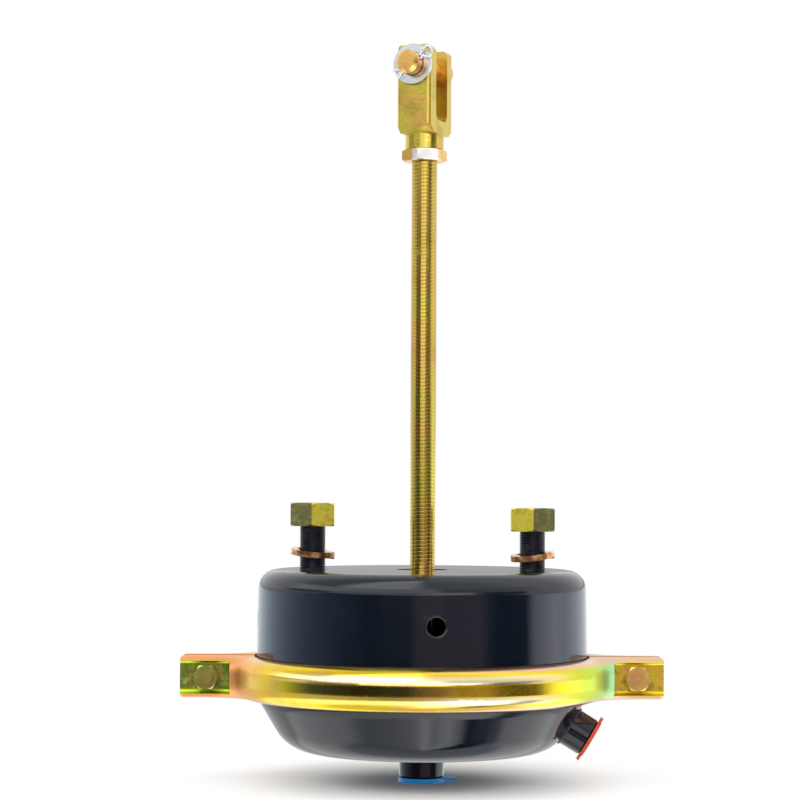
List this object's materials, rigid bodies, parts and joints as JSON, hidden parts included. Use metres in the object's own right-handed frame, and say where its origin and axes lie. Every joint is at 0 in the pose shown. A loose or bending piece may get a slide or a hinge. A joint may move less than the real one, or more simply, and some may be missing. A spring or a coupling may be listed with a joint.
{
  "type": "air brake chamber",
  "caption": "Clamped diaphragm air brake chamber with a long threaded push rod, fork end, two mounting studs and two plugged air ports.",
  "frame": {"origin": "centre of the flat mounting face, on the push rod's axis", "axes": "+Z out of the mounting face along the push rod, +X towards the right clamp ear and the right mounting stud, -Y towards the picture's viewer"},
  "size_m": [0.264, 0.206, 0.4026],
  "materials": {
    "black_enamel": "deep gloss black enamel over pressed steel",
    "yellow_chromate": "yellow passivated zinc plate with pink and green iridescence",
    "bright_zinc": "bright zinc plate, slightly worn",
    "black_oxide": "black phosphated and oiled steel thread",
    "copper_chromate": "copper-toned chromate on spring steel",
    "spring_steel": "oiled spring wire",
    "black_rubber": "moulded nitrile rubber",
    "grey_steel": "bare pressed steel",
    "blue_plastic": "moulded blue polythene",
    "red_plastic": "moulded red polythene"
  },
  "bodies": {
    "chamber": {"non_pressure_housing": "black_enamel", "pressure_housing": "black_enamel", "bottom_port_boss": "black_enamel", "side_port_boss": "black_enamel", "clamp_half_front": "yellow_chromate", "clamp_half_rear": "yellow_chromate", "clamp_bolts": "yellow_chromate", "clamp_nuts": "yellow_chromate", "mounting_stud_left": "black_oxide", "mounting_stud_right": "black_oxide", "stud_backing_plate": "grey_steel", "rod_seal": "black_rubber", "diaphragm": "black_rubber", "return_spring": "spring_steel"},
    "pushrod": {"push_rod": "yellow_chromate", "piston_plate": "grey_steel", "piston_hub": "grey_steel"},
    "jam_nut": {"jam_nut": "yellow_chromate"},
    "clevis": {"clevis": "yellow_chromate"},
    "clevis_pin": {"clevis_pin": "yellow_chromate", "clevis_washer": "bright_zinc", "cotter_pin": "bright_zinc"},
    "mounting_nut_left": {"mounting_nut_left": "yellow_chromate"},
    "mounting_nut_right": {"mounting_nut_right": "yellow_chromate"},
    "lock_washer_left": {"lock_washer_left": "copper_chromate"},
    "lock_washer_right": {"lock_washer_right": "copper_chromate"},
    "bottom_port_plug": {"bottom_port_plug": "blue_plastic"},
    "side_port_plug": {"side_port_plug": "red_plastic"}
  },
  "joints": [
    {"name": "pushrod_stroke", "type": "slide", "parent": "chamber", "child": "pushrod", "axis": [0, 0, 1], "range_m": [0, 0.0635], "stiffness_N_per_m": 2000, "springref_m": -0.06, "deforming": ["return_spring", "diaphragm"]},
    {"name": "jam_nut_turn", "type": "hinge", "parent": "pushrod", "child": "jam_nut", "pos_m": [0, 0, 0.2278], "axis": [0, 0, 1], "continuous": true},
    {"name": "clevis_turn", "type": "hinge", "parent": "pushrod", "child": "clevis", "pos_m": [0, 0, 0.259], "axis": [0, 0, 1], "continuous": true},
    {"name": "clevis_pin_turn", "type": "hinge", "parent": "clevis", "child": "clevis_pin", "pos_m": [0, 0, 0.276], "axis": [-0.3746, -0.9272, 0], "continuous": true},
    {"name": "left_nut_run", "type": "slide", "parent": "chamber", "child": "mounting_nut_left", "axis": [0, 0, 1], "range_m": [-0.005, 0.03]},
    {"name": "right_nut_run", "type": "slide", "parent": "chamber", "child": "mounting_nut_right", "axis": [0, 0, 1], "range_m": [-0.005, 0.03]},
    {"name": "left_washer_slide", "type": "slide", "parent": "chamber", "child": "lock_washer_left", "axis": [0, 0, 1], "range_m": [-0.0048, 0.004]},
    {"name": "right_washer_slide", "type": "slide", "parent": "chamber", "child": "lock_washer_right", "axis": [0, 0, 1], "range_m": [-0.003, 0.004]},
    {"name": "bottom_plug_pull", "type": "slide", "parent": "chamber", "child": "bottom_port_plug", "axis": [0, 0, -1], "range_m": [0, 0.02]},
    {"name": "side_plug_pull", "type": "slide", "parent": "chamber", "child": "side_port_plug", "axis": [0.8539, -0.0747, -0.515], "range_m": [0, 0.02]}
  ]
}
